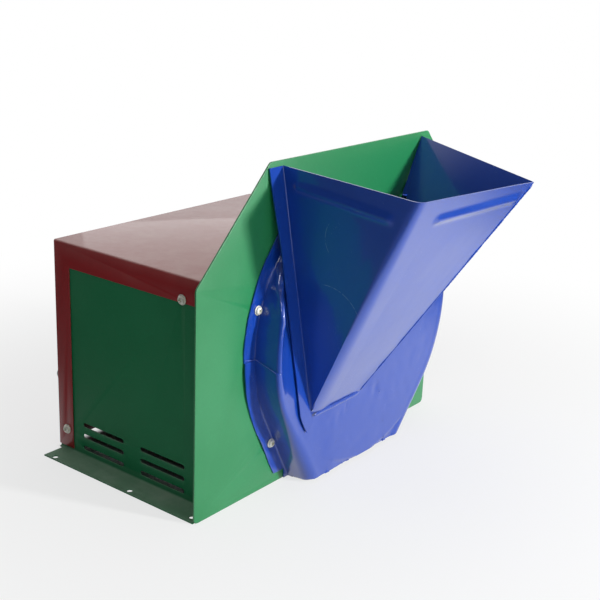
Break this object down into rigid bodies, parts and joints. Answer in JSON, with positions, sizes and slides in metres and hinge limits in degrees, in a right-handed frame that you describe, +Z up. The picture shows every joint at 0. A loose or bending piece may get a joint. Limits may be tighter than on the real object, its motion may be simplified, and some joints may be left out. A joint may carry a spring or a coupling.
{
  "type": "electric disc crusher for grapes and fruit",
  "caption": "Bench-type electric fruit and grape crusher: sheet-steel motor box, round crushing chamber with a slanted feed hopper and a toothed disc turned by the motor.",
  "frame": {"origin": "on the bench, under the middle of the machine's outer box", "axes": "+X to the right along the front plate seen from the hopper side, +Y from the hopper to the back of the motor box, +Z up"},
  "size_m": [0.43, 0.4304, 0.358],
  "materials": {
    "green_paint": "satin",
    "red_paint": "gloss",
    "blue_paint": "gloss",
    "zinc": "zinc plated",
    "steel": "machined",
    "cast_aluminium": "as cast",
    "black_plastic": "matte",
    "rubber": "matte",
    "copper": "varnished winding"
  },
  "bodies": {
    "frame": {"bearing_front": "steel", "bearing_rear": "steel", "cable_gland": "black_plastic", "capacitor_strap": "zinc", "chamber_nut_lower_left": "zinc", "chamber_nut_lower_right": "zinc", "chamber_nut_upper_left": "zinc", "chamber_nut_upper_right": "zinc", "chamber_pan": "blue_paint", "chamber_screw_lower_left": "zinc", "chamber_screw_lower_right": "zinc", "chamber_screw_upper_left": "zinc", "chamber_screw_upper_right": "zinc", "chute_bolt": "zinc", "chute_bolt_nut": "zinc", "cover": "red_paint", "cover_screw_left_lower": "zinc", "cover_screw_left_upper": "zinc", "cover_screw_right_lower": "zinc", "cover_screw_right_upper": "zinc", "fan_cowl": "steel", "front_plate": "green_paint", "gland_locknut": "black_plastic", "hopper_body": "blue_paint", "hopper_right_wall": "blue_paint", "lead_inlet_to_switch": "rubber", "lead_switch_to_motor": "rubber", "motor_bolt_1": "zinc", "motor_bolt_2": "zinc", "motor_bolt_3": "zinc", "motor_bolt_4": "zinc", "motor_front_shield": "cast_aluminium", "motor_housing": "cast_aluminium", "motor_rear_shield": "cast_aluminium", "run_capacitor": "cast_aluminium", "shaft_seal": "rubber", "side_panel_left": "green_paint", "side_panel_right": "green_paint", "stator_core": "steel", "stator_winding_front": "copper", "stator_winding_rear": "copper", "switch_body": "black_plastic", "terminal_box": "black_plastic", "terminal_box_lid": "black_plastic"},
    "rotor": {"shaft": "steel", "rotor_core": "steel", "cooling_fan": "black_plastic", "cutting_disc": "steel", "disc_hub": "steel", "disc_washer": "steel", "disc_nut": "steel", "blade_1": "steel", "blade_2": "steel", "blade_3": "steel", "blade_4": "steel"},
    "switch_rocker": {"switch_rocker": "black_plastic"}
  },
  "joints": [
    {"name": "rotor_spin", "type": "hinge", "parent": "frame", "child": "rotor", "pos_m": [0.034, -0.0492, 0.159], "axis": [0, 1, 0], "continuous": true},
    {"name": "switch_rocker_tilt", "type": "hinge", "parent": "frame", "child": "switch_rocker", "pos_m": [-0.1223, 0.1882, 0.16], "axis": [1, 0, 0], "range_deg": [-18, 0]}
  ]
}
